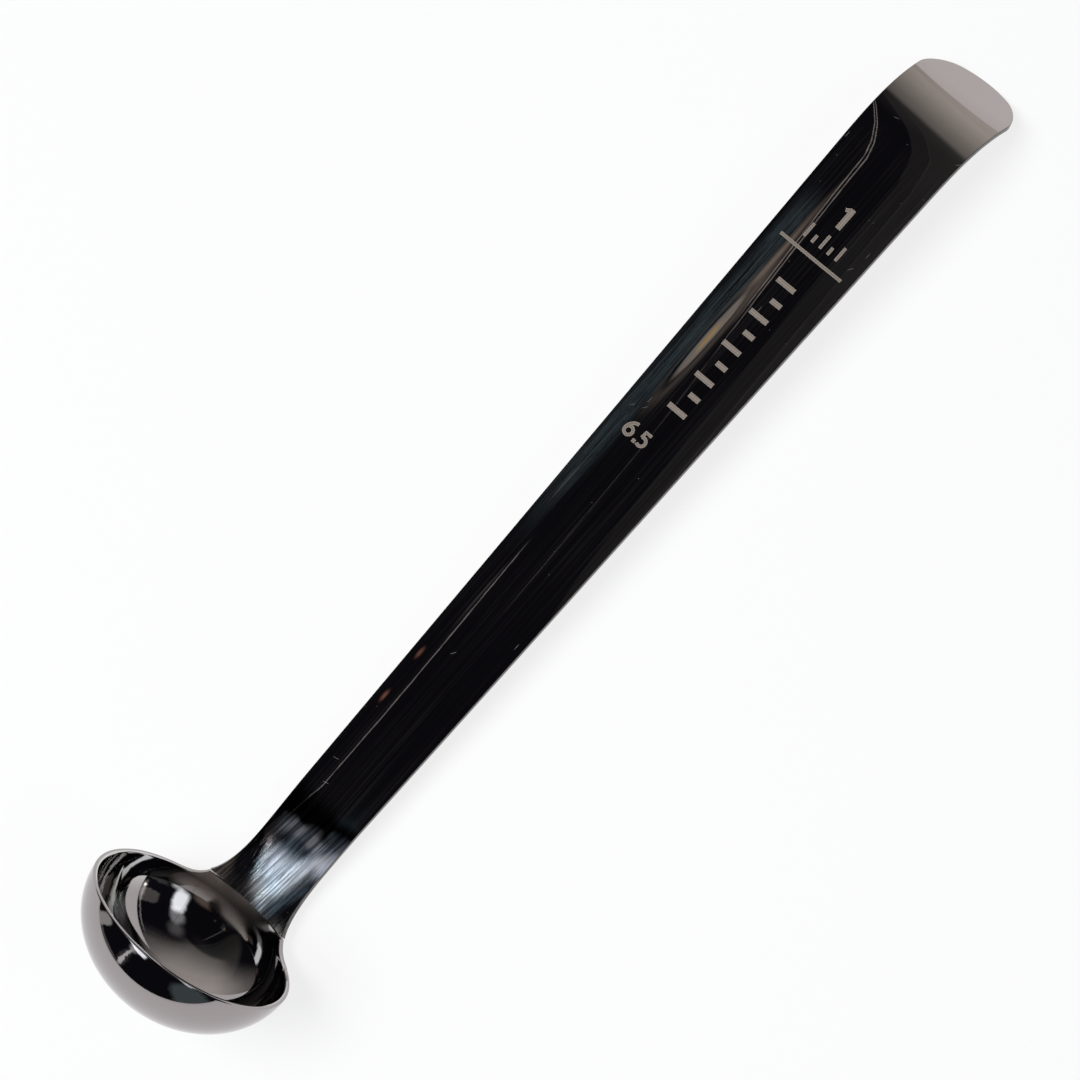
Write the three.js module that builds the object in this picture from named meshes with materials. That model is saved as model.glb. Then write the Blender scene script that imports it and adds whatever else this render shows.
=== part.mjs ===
import * as THREE from "three";
import { mergeVertices } from "three/addons/utils/BufferGeometryUtils.js";

// Tea measuring spoon of polished stainless sheet: a deep round bowl whose rim rises at the rear
// into a long flat handle, with the handle's tip curled backwards.
// Millimetres. The spoon lies on its back: handle along +X, front of the handle facing +Z,
// bowl at the -X end, origin on the surface below the middle.

// Sheet steel
const SHEET = 0.8;
const EDGE_ROUND = 0.3 * SHEET;
const EDGE_STEPS = 2;

// Bowl, inside sizes: half of an ellipsoid of revolution that holds 6.5 ml
const BOWL_RADIUS = 15.7;
const BOWL_DEPTH = 12.6;
const BOWL_RINGS = 12;
const RIM_COLUMNS = 48;

// Neck, where the bowl's rear wall runs up into the handle
const SEAM_HEIGHT = 1.6;
const NECK_WIDTH = 11.2;
const FLARE_WIDTH = 5.5;
const FLARE_LENGTH = 13.9;
const FLARE_POWER = 3;
const FLARE_COLUMNS = 8;
const NECK_BEND_RADIUS = 61;
const NECK_BEND = THREE.MathUtils.degToRad(13.5);
const NECK_ROWS = 14;

// Handle strip, gently hollow across its front
const SHANK_LENGTH = 130;
const SHANK_ROWS = 10;
const SECTION_RADIUS = 83;
const SECTION_FADE = 14;
const FLAT_HALF_WIDTH = 1.5;
const HALF_COLUMNS = 7;

// Tip, curled backwards, with rounded corners and a crowned end
const TIP_WIDTH = 16.8;
const CURL_RADIUS = 18.4;
const CURL = THREE.MathUtils.degToRad(49.5);
const CURL_ROWS = 12;
const TIP_STRAIGHT = 3;
const TIP_CORNER = 4;
const TIP_CROWN = 3.6;
const TIP_ROWS = 8;

// Lengths measured along the strip from the bowl's rim
const BEND_END = SEAM_HEIGHT + NECK_BEND_RADIUS * NECK_BEND;
const SHANK_END = BEND_END + SHANK_LENGTH;
const HANDLE_LENGTH = SHANK_END + CURL_RADIUS * CURL + TIP_STRAIGHT;
const SHOULDER = HANDLE_LENGTH - TIP_CORNER;

const OUTER_RADIUS = BOWL_RADIUS + SHEET;
const OUTER_DEPTH = BOWL_DEPTH + SHEET;
const REST_ROUNDS = 20;

// Depth below the front face and inset from the outline, step by step round the sheet's edge
function edgeSteps() {
  const front = [];
  for (let i = 0; i <= EDGE_STEPS; i++) {
    const turn = (Math.PI / 2) * (i / EDGE_STEPS);
    front.push({
      depth: EDGE_ROUND * (1 - Math.cos(turn)),
      inset: EDGE_ROUND * (1 - Math.sin(turn)),
    });
  }
  const rear = front.map(({ depth, inset }) => ({ depth: SHEET - depth, inset }));
  return [...front, ...rear.reverse()];
}

// Flare on each side of the neck: a quarter of a superellipse that leaves the rim tangentially
function flare(along) {
  const left = Math.max(0, 1 - along / FLARE_LENGTH);
  return FLARE_WIDTH * (1 - (1 - left ** FLARE_POWER) ** (1 / FLARE_POWER));
}

// Half the strip's width
function halfWidth(along) {
  const run = Math.max(0, along - SEAM_HEIGHT) / (HANDLE_LENGTH - SEAM_HEIGHT);
  return (NECK_WIDTH + (TIP_WIDTH - NECK_WIDTH) * run) / 2 + flare(along);
}

// Height of the bowl's edge above its rim, at a distance across the rear wall
function edgeHeight(across) {
  const out = (Math.abs(across) - NECK_WIDTH / 2) / FLARE_WIDTH;
  if (out <= 0) return SEAM_HEIGHT;
  if (out >= 1) return 0;
  const left = (1 - (1 - out) ** FLARE_POWER) ** (1 / FLARE_POWER);
  return Math.min(SEAM_HEIGHT, FLARE_LENGTH * (1 - left));
}

// Front face's centre line seen from the side: distance behind the bowl's axis, height above
// the rim, and backward lean
function centreLine(along) {
  const stretches = [
    { length: SEAM_HEIGHT, curve: 0 },
    { length: BEND_END - SEAM_HEIGHT, curve: 1 / NECK_BEND_RADIUS },
    { length: SHANK_LENGTH, curve: 0 },
    { length: CURL_RADIUS * CURL, curve: 1 / CURL_RADIUS },
    { length: Infinity, curve: 0 },
  ];
  const point = { back: BOWL_RADIUS, up: 0, lean: 0 };
  let left = along;
  for (const { length, curve } of stretches) {
    const step = Math.min(left, length);
    const lean = point.lean + step * curve;
    if (curve === 0) {
      point.back += step * Math.sin(lean);
      point.up += step * Math.cos(lean);
    } else {
      point.back += (Math.cos(point.lean) - Math.cos(lean)) / curve;
      point.up += (Math.sin(lean) - Math.sin(point.lean)) / curve;
    }
    point.lean = lean;
    left -= step;
  }
  return point;
}

// Hollowness across the strip: the bowl's own curve at the seam, fading to the gentle section
function sectionCurve(along) {
  const run = THREE.MathUtils.smoothstep(along, SEAM_HEIGHT, SEAM_HEIGHT + SECTION_FADE);
  return (1 - run) / BOWL_RADIUS + run / SECTION_RADIUS;
}

// Point of the strip on the upright spoon, at a depth below its front face and square to it
function uprightPoint(along, across, depth) {
  const { back, up, lean } = centreLine(along);
  const curve = sectionCurve(along);
  const slant = Math.asin(across * curve);
  const rise = (1 - Math.cos(slant)) / curve - depth * Math.cos(slant);
  return {
    across: across + depth * Math.sin(slant),
    back: back - rise * Math.cos(lean),
    up: up + rise * Math.sin(lean),
  };
}

// How far along the strip's end lies: rounded corners and a crown in between
function endAlong(across, inset) {
  const half = halfWidth(SHOULDER);
  const intoCorner = Math.max(0, Math.abs(across) - (half - TIP_CORNER));
  const corner = Math.sqrt(Math.max(0, (TIP_CORNER - inset) ** 2 - intoCorner ** 2));
  const crown = TIP_CROWN * (1 - (across / (half - inset)) ** 2);
  return SHOULDER + corner + crown;
}

// Tilt of the bowl's axis when the bowl's back and the curled tip both touch the surface
function restTilt() {
  const landRadius = OUTER_RADIUS * Math.cos(Math.asin(FLAT_HALF_WIDTH / BOWL_RADIUS));
  const heel = edgeSteps().map(({ depth, inset }) => {
    return uprightPoint(endAlong(FLAT_HALF_WIDTH, inset), FLAT_HALF_WIDTH, depth);
  });
  let tilt = 0;
  for (let i = 0; i < REST_ROUNDS; i++) {
    const bowlReach = Math.hypot(landRadius * Math.cos(tilt), OUTER_DEPTH * Math.sin(tilt));
    const tilts = heel.map(({ back, up }) => {
      return Math.acos(bowlReach / Math.hypot(back, up)) - Math.atan2(up, back);
    });
    tilt = Math.max(...tilts);
  }
  return tilt;
}

const TILT = restTilt();

// From the upright spoon to the lying one
function lay({ across, back, up }) {
  const x = back * Math.sin(TILT) + up * Math.cos(TILT);
  const z = up * Math.sin(TILT) - back * Math.cos(TILT);
  return new THREE.Vector3(x, -across, z);
}

function stripPoint(along, across, depth) {
  return lay(uprightPoint(along, across, depth));
}

// Places across the strip: a flat land in the middle, then steps that close up towards the edge
function acrossSteps(half) {
  const right = [];
  for (let i = 0; i <= HALF_COLUMNS; i++) {
    const share = Math.sin((Math.PI / 2) * (i / HALF_COLUMNS));
    right.push(FLAT_HALF_WIDTH + (half - FLAT_HALF_WIDTH) * share);
  }
  return [...right.map((across) => -across).reverse(), ...right];
}

// Places along the strip from the seam to where the tip's corners begin
function alongSteps() {
  const steps = [];
  for (let i = 0; i < NECK_ROWS; i++) {
    steps.push(THREE.MathUtils.lerp(SEAM_HEIGHT, BEND_END, i / NECK_ROWS));
  }
  for (let i = 0; i < SHANK_ROWS; i++) {
    steps.push(THREE.MathUtils.lerp(BEND_END, SHANK_END, i / SHANK_ROWS));
  }
  for (let i = 0; i <= CURL_ROWS; i++) {
    steps.push(THREE.MathUtils.lerp(SHANK_END, SHOULDER, i / CURL_ROWS));
  }
  return steps;
}

// One row of the strip's points; the seam's edge is left square
function stripRow(along, { depth, inset }) {
  const half = halfWidth(along) - (along > SEAM_HEIGHT ? inset : 0);
  return acrossSteps(half).map((across) => stripPoint(along, across, depth));
}

// One row between the tip's shoulder and its end
function tipRow(share, { depth, inset }) {
  const places = acrossSteps(halfWidth(SHOULDER) - inset);
  return places.map((across) => {
    const along = THREE.MathUtils.lerp(SHOULDER, endAlong(across, inset), share);
    return stripPoint(along, across, depth);
  });
}

// Whole face of the strip at one depth, as rows from the seam to the tip
function stripFace(step) {
  const rows = alongSteps().map((along) => stripRow(along, step));
  for (let i = 1; i <= TIP_ROWS; i++) rows.push(tipRow(i / TIP_ROWS, step));
  return rows;
}

// Free edge of one face: up one side, round the tip and down the other side
function faceBorder(rows) {
  const sideRows = rows.slice(0, -1);
  const first = sideRows.map((row) => row[0]);
  const last = sideRows.map((row) => row[row.length - 1]);
  return [...first, ...rows[rows.length - 1], ...last.reverse()];
}

// Triangles of a grid of points, left out where they have shrunk to nothing
function gridTriangles(rows, closed) {
  const triangles = [];
  const keep = (a, b, c) => {
    const area = b.clone().sub(a).cross(c.clone().sub(a)).length() / 2;
    if (area > 1e-9) triangles.push(a, b, c);
  };
  for (let i = 0; i + 1 < rows.length; i++) {
    const count = rows[i].length;
    for (let j = 0; j < (closed ? count : count - 1); j++) {
      const next = (j + 1) % count;
      keep(rows[i][j], rows[i][next], rows[i + 1][next]);
      keep(rows[i][j], rows[i + 1][next], rows[i + 1][j]);
    }
  }
  return triangles;
}

function meshFrom(name, triangles, material) {
  const geometry = new THREE.BufferGeometry().setFromPoints(triangles);
  const merged = mergeVertices(geometry, 1e-5);
  merged.computeVertexNormals();
  const mesh = new THREE.Mesh(merged, material);
  mesh.name = name;
  return mesh;
}

// Handle: front and rear faces, the rounded edge between them, and the square seam face
function makeHandle(material) {
  const faces = edgeSteps().map((step) => stripFace(step));
  const front = faces[0];
  const rear = faces[faces.length - 1];
  const seam = faces.map((rows) => rows[0]);
  const triangles = [
    ...gridTriangles(front, false),
    ...gridTriangles([...rear].reverse(), false),
    ...gridTriangles(faces.map(faceBorder), false),
    ...gridTriangles([...seam].reverse(), false),
  ];
  return meshFrom("handle", triangles, material);
}

// Angles round the bowl, from one end of the seam round the front to the other, then across it
function bowlAngles() {
  const seamSteps = acrossSteps(halfWidth(SEAM_HEIGHT));
  const seamAngles = seamSteps.map((across) => Math.asin(across / BOWL_RADIUS));
  const seamEnd = seamAngles[seamAngles.length - 1];
  const flareEnd = Math.asin((NECK_WIDTH / 2 + FLARE_WIDTH) / BOWL_RADIUS);
  const angles = [...seamAngles];
  for (let i = 1; i <= FLARE_COLUMNS; i++) {
    angles.push(THREE.MathUtils.lerp(seamEnd, flareEnd, i / FLARE_COLUMNS));
  }
  for (let i = 1; i < RIM_COLUMNS; i++) {
    angles.push(THREE.MathUtils.lerp(flareEnd, 2 * Math.PI - flareEnd, i / RIM_COLUMNS));
  }
  for (let i = FLARE_COLUMNS; i >= 1; i--) {
    angles.push(2 * Math.PI - THREE.MathUtils.lerp(seamEnd, flareEnd, i / FLARE_COLUMNS));
  }
  return angles;
}

// Point of the bowl's wall; above the rim the wall goes straight up
function wallPoint(angle, up, depth) {
  const drop = Math.min(0, up) / (BOWL_DEPTH + depth);
  const radius = (BOWL_RADIUS + depth) * Math.sqrt(Math.max(0, 1 - drop ** 2));
  return lay({ across: radius * Math.sin(angle), back: radius * Math.cos(angle), up });
}

// Ring of the wall at a share of the way from the bottom to just under the rim
function wallRing(share, depth) {
  const up = -(BOWL_DEPTH + depth) * Math.cos((Math.PI / 2) * share);
  return bowlAngles().map((angle) => wallPoint(angle, up, depth));
}

// Ring on the bowl's edge: rounded all along, square where the handle is joined
function edgeRing({ depth, inset }) {
  return bowlAngles().map((angle) => {
    const rear = Math.cos(angle) > 0;
    const height = rear ? edgeHeight(BOWL_RADIUS * Math.sin(angle)) : 0;
    const joined = height > SEAM_HEIGHT - 1e-6;
    return wallPoint(angle, height - (joined ? 0 : inset), depth);
  });
}

// Bowl: rings from the bottom up the inside, over the edge and down the outside
function makeBowl(material) {
  const inside = [];
  const outside = [];
  for (let i = 0; i < BOWL_RINGS; i++) {
    inside.push(wallRing(i / BOWL_RINGS, 0));
    outside.push(wallRing(i / BOWL_RINGS, SHEET));
  }
  const rings = [...inside, ...edgeSteps().map(edgeRing), ...outside.reverse()];
  return meshFrom("bowl", gridTriangles(rings, true), material);
}

function steel(name, roughness) {
  const material = new THREE.MeshStandardMaterial({ color: 0xb8b9bb, roughness, metalness: 1 });
  material.name = name;
  return material;
}

// Both pieces, moved so that the origin is under the middle
function makeSpoon() {
  const spoon = new THREE.Group();
  spoon.add(makeBowl(steel("bowl_steel", 0.12)));
  spoon.add(makeHandle(steel("handle_steel", 0.18)));
  const box = new THREE.Box3().setFromObject(spoon);
  const middle = box.getCenter(new THREE.Vector3());
  for (const piece of spoon.children) {
    piece.geometry.translate(-middle.x, -middle.y, -box.min.z);
  }
  return spoon;
}

export default makeSpoon();
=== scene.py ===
"""Tea measuring spoon of polished stainless sheet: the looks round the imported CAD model.

The bowl and the handle are worked out again as fine surfaces from the sizes that the solids
have, the marks on the handle's front are thin shells laid on that surface, and a plain studio
stands round the spoon.
"""

import math

import bmesh
import bpy
import numpy as np
from mathutils import Matrix


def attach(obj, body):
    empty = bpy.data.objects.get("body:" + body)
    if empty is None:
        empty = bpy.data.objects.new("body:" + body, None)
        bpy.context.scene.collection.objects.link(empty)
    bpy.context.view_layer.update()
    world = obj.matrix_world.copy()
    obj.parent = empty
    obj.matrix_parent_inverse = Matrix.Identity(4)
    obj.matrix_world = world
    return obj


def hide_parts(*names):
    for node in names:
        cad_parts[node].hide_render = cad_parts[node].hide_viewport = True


bl_info = {
    "name": "Tea Measuring Spoon",
    "version": (1, 0, 0),
    "blender": (4, 5, 0),
    "location": "View3D > Sidebar > Spoon",
    "description": "Builds the bowl, handle, marks and studio of a steel tea measuring spoon",
    "category": "Add Mesh",
}

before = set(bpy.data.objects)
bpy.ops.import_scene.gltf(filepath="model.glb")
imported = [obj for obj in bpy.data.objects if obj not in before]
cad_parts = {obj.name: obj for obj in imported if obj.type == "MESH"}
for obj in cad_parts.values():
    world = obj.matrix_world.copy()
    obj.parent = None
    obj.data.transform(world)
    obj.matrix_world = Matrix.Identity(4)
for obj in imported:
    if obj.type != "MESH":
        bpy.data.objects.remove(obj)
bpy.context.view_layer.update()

MM = 0.001
BODY = "root"
STRIP_UV = "strip"
WALL_UV = "wall"
MARK_UV = "mark"
MERGE = 2e-6
SHARP_ANGLE = math.radians(40)


# Settings

def length_setting(name, description, millimetres):
    return bpy.props.FloatProperty(name=name, description=description,
                                   default=millimetres * MM, unit="LENGTH")


def angle_setting(name, description, degrees):
    return bpy.props.FloatProperty(name=name, description=description,
                                   default=math.radians(degrees), subtype="ANGLE")


def colour_setting(name, description, default):
    return bpy.props.FloatVectorProperty(name=name, description=description, default=default,
                                         subtype="COLOR", size=3, min=0, max=1)


class SpoonShape(bpy.types.PropertyGroup):
    """Sizes of the spoon"""
    sheet: length_setting("Sheet", "Thickness of the steel", 0.8)
    edge_round: length_setting("Edge round", "Radius on the sheet's edges", 0.07)
    lip_inside: length_setting("Lip inside", "Radius on the bowl's lip, on the inside", 0.38)
    lip_outside: length_setting("Lip outside", "Radius on the bowl's lip, on the outside", 0.20)
    seam_round: length_setting("Seam round", "Radius on the edges that meet at the seam", 0.015)
    bowl_radius: length_setting("Bowl radius", "Inside radius at the rim", 15.7)
    bowl_depth: length_setting("Bowl depth", "Inside depth below the rim", 12.6)
    seam_height: length_setting("Seam height", "Height of the seam above the rim", 1.6)
    neck_width: length_setting("Neck width", "Width of the handle at the neck", 11.2)
    flare_width: length_setting("Flare width", "How far the neck spreads on each side", 5.5)
    flare_length: length_setting("Flare length", "How far up the neck the spread reaches", 13.9)
    flare_power: bpy.props.FloatProperty(
        name="Flare power", description="Exponent of the spread's superellipse", default=3.0)
    bend_radius: length_setting("Neck bend radius", "Radius of the backward bend at the neck", 61)
    bend: angle_setting("Neck bend", "Angle of the backward bend at the neck", 13.5)
    crease: angle_setting("Crease", "Angle by which the strip bends back right at the seam", 11.5)
    crease_reach: length_setting(
        "Crease reach", "Length over which the crease is taken up again", 20)
    curl_ease: length_setting("Curl ease", "Length over which the shank turns into the curl", 7.2)
    shank_length: length_setting("Shank length", "Straight part of the handle", 130)
    hollow_radius: length_setting(
        "Hollow radius", "Radius of the hollow across the handle's front", 83)
    hollow_fade: length_setting(
        "Hollow fade", "Length over which the bowl's curve becomes the hollow", 14)
    tip_width: length_setting("Tip width", "Width of the handle at its tip", 16.8)
    curl_radius: length_setting("Curl radius", "Radius of the curled tip", 18.4)
    curl: angle_setting("Curl", "Angle of the curled tip", 49.5)
    tip_straight: length_setting("Tip straight", "Straight length past the curl", 3)
    tip_corner: length_setting("Tip corner", "Radius of the tip's corners", 4)
    tip_crown: length_setting("Tip crown", "Height of the tip's crowned end", 3.6)
    rest_tilt: angle_setting(
        "Rest tilt", "Tilt of the bowl's axis as the spoon lies on its back", 16.50612)
    rim_x: length_setting("Rim centre X", "Where the middle of the rim lies", -77.4835)
    rim_z: length_setting("Rim centre Z", "Height of the middle of the rim", 16.2013)


class SpoonFinish(bpy.types.PropertyGroup):
    """Colours of the steel and of its marks"""
    steel: colour_setting("Steel", "Colour of the polished steel", (0.386, 0.345, 0.333))
    steel_dull: colour_setting(
        "Steel, dull", "Colour of the steel in fine scratches", (0.235, 0.215, 0.215))
    bowl: colour_setting("Bowl", "Colour of the bowl's steel", (0.337, 0.308, 0.313))
    # Painted highlight: a paler steel colour that brightens the reflections in the band under the
    # lip and just above the seam.
    painted_highlight: colour_setting(
        "Bowl, upper wall", "Colour of the steel inside, just below the lip", (0.60, 0.59, 0.58))
    bowl_seam: colour_setting(
        "Bowl, by the seam", "Colour of the duller steel by the seam", (0.265, 0.240, 0.215))
    # Painted shade: the near black edge colour stands in for the dark reflection along the
    # sheet's edge; the neck's scores take it too.
    edge: colour_setting(
        "Edge", "Colour of the ground edge of the handle's sheet", (0.035, 0.035, 0.034))
    # Painted shade: a near black colour laid on the stretch above the neck's scores, in place of
    # a dark reflection there.
    neck_shade: colour_setting(
        "Neck, dark", "Colour of the dark scratches above the neck", (0.014, 0.015, 0.017))
    mark: colour_setting("Marks", "Colour of the frosted marks", (0.285, 0.245, 0.213))
    mark_line: colour_setting(
        "Mark line", "Colour of the fine line inside each mark's outline", (0.19, 0.155, 0.13))


class SpoonStudio(bpy.types.PropertyGroup):
    """Floor and light round the spoon"""
    floor: colour_setting("Floor", "Colour of the floor", (0.9, 0.9, 0.9))
    backdrop_share: bpy.props.FloatProperty(
        name="White share", description="How much of the floor shows as plain white",
        default=0.8, min=0, max=1)
    key_power: bpy.props.FloatProperty(
        name="Key lamp", description="Power of the soft lamp above", default=9.6,
        unit="POWER")


# The spoon's surfaces

def edge_profile(thickness, front, rear, steps):
    """Depth below the front face and inset from the outline, step by step round an edge.

    A quarter circle of the front's radius, and a mirrored one of the rear's."""
    turn = np.linspace(0, math.pi / 2, steps + 1)
    depth, inset = 1 - np.cos(turn), 1 - np.sin(turn)
    return (np.r_[front * depth, thickness - rear * depth[::-1]],
            np.r_[front * inset, rear * inset[::-1]])


def flare(shape, along):
    """Spread of the neck: width x (1 - (1 - q^p)^(1/p)), where q falls from 1 at the rim."""
    left = np.maximum(0, 1 - along / shape.flare_length)
    power = shape.flare_power
    return shape.flare_width * (1 - (1 - left ** power) ** (1 / power))


def bend_end(shape):
    return shape.seam_height + shape.bend_radius * shape.bend


def shank_end(shape):
    return bend_end(shape) + shape.shank_length


def handle_length(shape):
    return shank_end(shape) + shape.curl_radius * shape.curl + shape.tip_straight


def shoulder(shape):
    return handle_length(shape) - shape.tip_corner


def half_width(shape, along):
    """Half the strip's width: a straight taper from neck to tip, plus the flare."""
    run = np.maximum(0, along - shape.seam_height) / (handle_length(shape) - shape.seam_height)
    width = shape.neck_width + (shape.tip_width - shape.neck_width) * run
    return width / 2 + flare(shape, along)


def edge_height(shape, across):
    """Height of the bowl's edge above the rim: the flare's formula solved for the length."""
    out = np.clip((np.abs(across) - shape.neck_width / 2) / shape.flare_width, 0, 1)
    power = shape.flare_power
    left = (1 - (1 - out) ** power) ** (1 / power)
    return np.minimum(shape.seam_height, shape.flare_length * (1 - left))


def centre_line(shape, along):
    """Side view of the strip's middle: behind the bowl's axis, above the rim, and its lean.

    Straight and circular stretches end to end, each going on in the direction of the last.
    The crease adds tan(crease) x reach x q (1 - q)^2, where q is the share of its reach."""
    stretches = (
        (shape.seam_height, 0),
        (shape.bend_radius * shape.bend, 1 / shape.bend_radius),
        (shape.shank_length - shape.curl_ease / 2, 0),
        (shape.curl_ease / 3, 0.25 / shape.curl_radius),
        (shape.curl_ease / 3, 0.50 / shape.curl_radius),
        (shape.curl_ease / 3, 0.75 / shape.curl_radius),
        (shape.curl_radius * shape.curl - shape.curl_ease / 2, 1 / shape.curl_radius),
        (math.inf, 0),
    )
    back = np.full_like(along, shape.bowl_radius)
    up = np.zeros_like(along)
    lean = np.zeros_like(along)
    start = 0
    for length, curve in stretches:
        step = np.clip(along - start, 0, length)
        turned = lean + step * curve
        if curve:
            back = back + (np.cos(lean) - np.cos(turned)) / curve
            up = up + (np.sin(turned) - np.sin(lean)) / curve
        else:
            back = back + step * np.sin(lean)
            up = up + step * np.cos(lean)
        lean = turned
        start += length
    share = np.clip((along - shape.seam_height) / shape.crease_reach, 0, 1)
    steep = math.tan(shape.crease)
    dip = steep * shape.crease_reach * share * (1 - share) ** 2
    slope = steep * (1 - share) * (1 - 3 * share)
    return back + dip * np.cos(lean), up - dip * np.sin(lean), lean + np.arctan(slope)


def section_curve(shape, along):
    """Curvature across the strip: the bowl's at the seam, then smoothly the gentle hollow's."""
    run = np.clip((along - shape.seam_height) / shape.hollow_fade, 0, 1)
    run = run * run * (3 - 2 * run)
    return (1 - run) / shape.bowl_radius + run / shape.hollow_radius


def lay(shape, across, back, up):
    """From the upright spoon to the one that lies on its back in the row frame."""
    sin, cos = math.sin(shape.rest_tilt), math.cos(shape.rest_tilt)
    x = back * sin + up * cos + shape.rim_x
    z = up * sin - back * cos + shape.rim_z
    return np.stack([x, -across, z], axis=-1)


def strip_point(shape, along, across, depth):
    """Point of the strip: out from the centre line on a circular arc, then square into it."""
    along, across, depth = np.broadcast_arrays(along, across, depth)
    back, up, lean = centre_line(shape, along.astype(float))
    curve = section_curve(shape, along)
    slant = np.arcsin(across * curve)
    rise = (1 - np.cos(slant)) / curve - depth * np.cos(slant)
    return lay(shape, across + depth * np.sin(slant), back - rise * np.cos(lean),
               up + rise * np.sin(lean))


def end_along(shape, across, inset):
    """How far the tip reaches: the corner's circle plus a parabola for the crown."""
    half = half_width(shape, shoulder(shape))
    into_corner = np.maximum(0, np.abs(across) - (half - shape.tip_corner))
    corner = np.sqrt(np.maximum(0, (shape.tip_corner - inset) ** 2 - into_corner ** 2))
    crown = shape.tip_crown * (1 - (across / (half - inset)) ** 2)
    return shoulder(shape) + corner + crown


def wall_point(shape, angle, up, depth):
    """Point of the bowl's wall: an ellipsoid below the rim, a straight cylinder above it."""
    drop = np.minimum(0, up) / (shape.bowl_depth + depth)
    radius = (shape.bowl_radius + depth) * np.sqrt(np.maximum(0, 1 - drop ** 2))
    return lay(shape, radius * np.sin(angle), radius * np.cos(angle), up)


# Meshes from grids

def grid_faces(rows, columns, first, closed=False, turned=False):
    """Quads between neighbours of a grid whose vertices are numbered row by row."""
    row = np.arange(rows - 1)[:, None]
    column = np.arange(columns if closed else columns - 1)[None, :]
    after = (column + 1) % columns
    here, right = row * columns + column, row * columns + after
    quads = np.stack([here, right, right + columns, here + columns], axis=-1)
    quads = quads.reshape(-1, 4) + first
    return quads[:, ::-1] if turned else quads


class Shell:
    """Grids of points with their UV places, gathered into one closed mesh."""

    def __init__(self):
        self.points, self.places, self.faces, self.slots, self.count = [], [], [], [], 0

    def add(self, points, places, closed=False, turned=False, slot=0):
        rows, columns = points.shape[:2]
        self.faces.append(grid_faces(rows, columns, self.count, closed, turned))
        self.slots.append(np.full(len(self.faces[-1]), slot, np.int32))
        self.points.append(points.reshape(-1, 3))
        self.places.append(places.reshape(-1, 2))
        self.count += rows * columns

    def make(self, name, uv_name, sharp_angle):
        """Mesh object: doubles merged, smooth but for edges sharper than the angle."""
        points, places = np.concatenate(self.points), np.concatenate(self.places)
        faces = np.concatenate(self.faces)
        mesh = bpy.data.meshes.new(name)
        mesh.from_pydata(points.tolist(), [], faces.tolist())
        corners = np.empty(len(mesh.loops), np.int32)
        mesh.loops.foreach_get("vertex_index", corners)
        layer = mesh.uv_layers.new(name=uv_name)
        layer.uv.foreach_set("vector", places[corners].astype(np.float32).ravel())
        mesh.polygons.foreach_set("material_index", np.concatenate(self.slots))
        merge_doubles(mesh)
        mesh.shade_smooth()
        mesh.set_sharp_from_angle(angle=sharp_angle)
        piece = bpy.data.objects.new(name, mesh)
        bpy.context.scene.collection.objects.link(piece)
        return piece


def merge_doubles(mesh):
    work = bmesh.new()
    work.from_mesh(mesh)
    bmesh.ops.remove_doubles(work, verts=work.verts, dist=MERGE)
    work.to_mesh(mesh)
    work.free()


# Bowl and handle

HANDLE_COLUMNS = 40
NECK_ROWS, SHANK_ROWS, CURL_ROWS, TIP_ROWS = 84, 50, 64, 20
EDGE_STEPS = 6
BOWL_RINGS = 72
FLARE_COLUMNS = 28
RIM_COLUMNS = 220
NECK_CROWDING = 1.6
LIP_FADE_COLUMNS = 8
WALL_UV_RADII = 4


def spread(half):
    """Places across a width of +-half, closing up towards its edges as a sine does."""
    share = np.sin(np.linspace(-math.pi / 2, math.pi / 2, HANDLE_COLUMNS + 1))
    return np.asarray(half)[..., None] * share


def rows_along(shape):
    neck_end = max(bend_end(shape), shape.seam_height + shape.crease_reach)
    curl_start = shank_end(shape) - shape.curl_ease / 2
    share = np.linspace(0, 1, NECK_ROWS, endpoint=False) ** NECK_CROWDING
    neck = shape.seam_height + (neck_end - shape.seam_height) * share
    shank = np.linspace(neck_end, curl_start, SHANK_ROWS, endpoint=False)
    curl = np.linspace(curl_start, shoulder(shape), CURL_ROWS + 1)
    return np.r_[neck, shank, curl]


def strip_grid(shape, depth, inset, seam_inset):
    """Along and across for a whole face: straight rows up to the shoulder, then rows that
    share out the length left to the tip's outline."""
    along = rows_along(shape)
    along[0] += seam_inset
    sides = spread(half_width(shape, along) - inset)
    across_tip = spread(half_width(shape, shoulder(shape)) - inset)
    share = np.linspace(0, 1, TIP_ROWS + 1)[1:, None]
    reach = end_along(shape, across_tip, inset) - shoulder(shape)
    along_tip = shoulder(shape) + share * reach
    along_all = np.concatenate([np.broadcast_to(along[:, None], sides.shape), along_tip])
    across_all = np.concatenate([sides, np.broadcast_to(across_tip, along_tip.shape)])
    return along_all, across_all


def strip_places(shape, along, across):
    """UV place on the strip: 1 unit is the handle's length, the middle line is at v = 0.5."""
    length = handle_length(shape)
    return np.stack([along / length, across / length + 0.5], axis=-1)


def border_of(grid):
    """Free edge of a face: up one side, across the tip, down the other side."""
    sides = grid[:-1]
    return np.concatenate([sides[:, 0], grid[-1], sides[::-1, -1]])


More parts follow.
